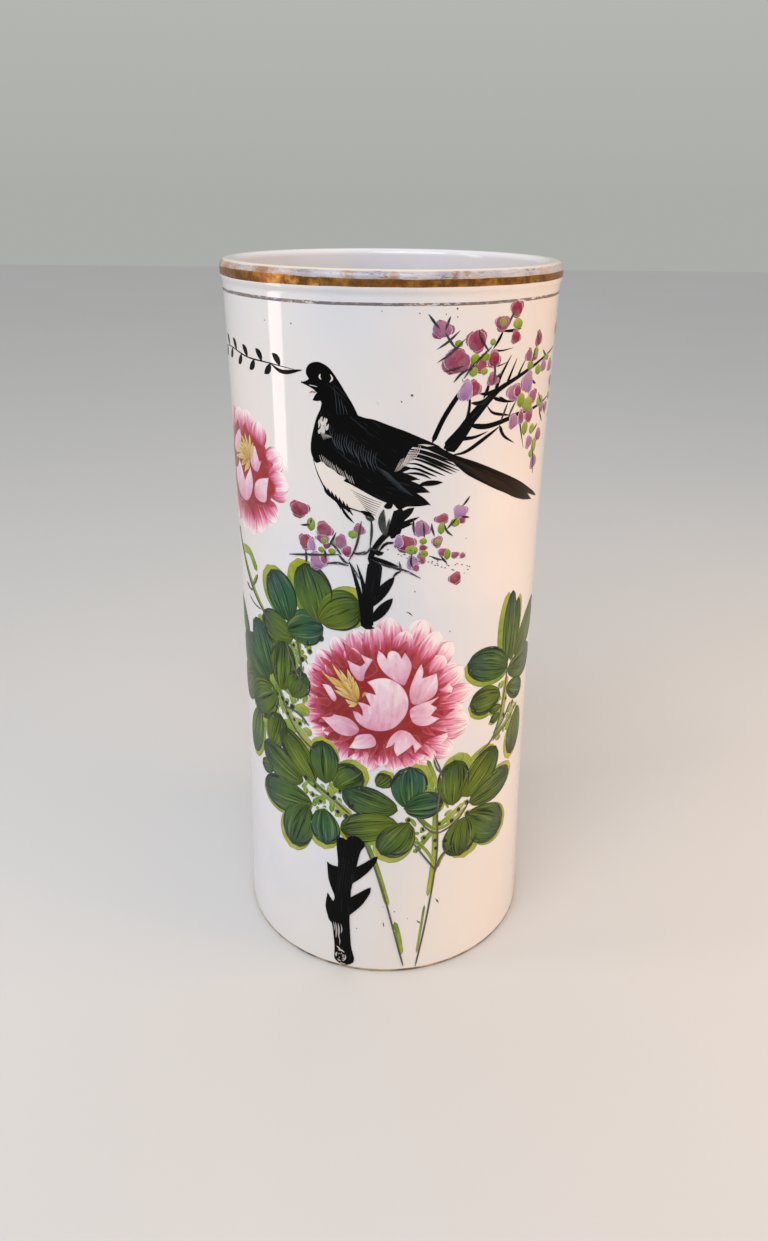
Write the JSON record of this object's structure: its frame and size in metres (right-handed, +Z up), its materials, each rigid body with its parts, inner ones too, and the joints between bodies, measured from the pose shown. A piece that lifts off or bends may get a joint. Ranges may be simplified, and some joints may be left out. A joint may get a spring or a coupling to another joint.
{
  "type": "flower vase",
  "caption": "Tall cylindrical porcelain vase with a rolled lip, a gilded rim band and a painted bird, plum branch and peonies; holds cut flowers.",
  "frame": {"origin": "middle of the foot, on the surface the vase stands on", "axes": "+Z up along the bore; -Y is the front, where the bird and the large peony are; +X to the right seen from the front"},
  "size_m": [0.125, 0.125, 0.28],
  "materials": {
    "porcelain_glaze": "clear glossy glaze over white porcelain, a little warm",
    "bare_foot": "bare fired clay, matt and a little stained",
    "gilding": "burnished gilding, rubbed thin in places",
    "worn_gilding": "gilding worn down to a grey line with flecks of gold",
    "black_enamel": "black enamel with dry-brush streaks",
    "brown_enamel": "brown-black enamel, streaked along the feathers",
    "white_enamel": "thin white enamel",
    "red_enamel": "iron-red enamel",
    "grey_enamel": "thin grey line enamel",
    "ruby_enamel": "ruby enamel shading to lilac",
    "lime_enamel": "translucent yellow-green enamel",
    "pink_enamel": "rose enamel shading from crimson to near white",
    "crimson_enamel": "crimson enamel",
    "pale_rose_enamel": "near-white rose enamel with fine veins",
    "yellow_enamel": "ochre yellow enamel",
    "leaf_enamel": "dark green enamel streaked with blue-green",
    "stem_enamel": "yellow-green enamel with a grey outline"
  },
  "bodies": {
    "root": {"body_wall": "porcelain_glaze", "rolled_lip": "porcelain_glaze", "base_disc": "porcelain_glaze", "foot_ring": "bare_foot", "gilt_band": "gilding", "gilt_line": "worn_gilding", "bird_plumage": "black_enamel", "bird_belly": "white_enamel", "bird_tail": "brown_enamel", "bird_legs": "grey_enamel", "bird_tongue": "red_enamel", "trunk_lower": "black_enamel", "trunk_upper": "black_enamel", "plum_limbs": "black_enamel", "plum_twigs": "grey_enamel", "plum_blossoms": "ruby_enamel", "plum_buds": "lime_enamel", "peony_petals": "pink_enamel", "peony_heart": "crimson_enamel", "peony_core": "pale_rose_enamel", "peony_stamens": "yellow_enamel", "side_peony_petals": "pink_enamel", "side_peony_heart": "crimson_enamel", "side_peony_core": "pale_rose_enamel", "side_peony_stamens": "yellow_enamel", "leaves": "leaf_enamel", "leaf_halos": "lime_enamel", "leaf_stems": "stem_enamel", "seed_dots": "black_enamel", "ink_sprig": "black_enamel"}
  },
  "joints": []
}
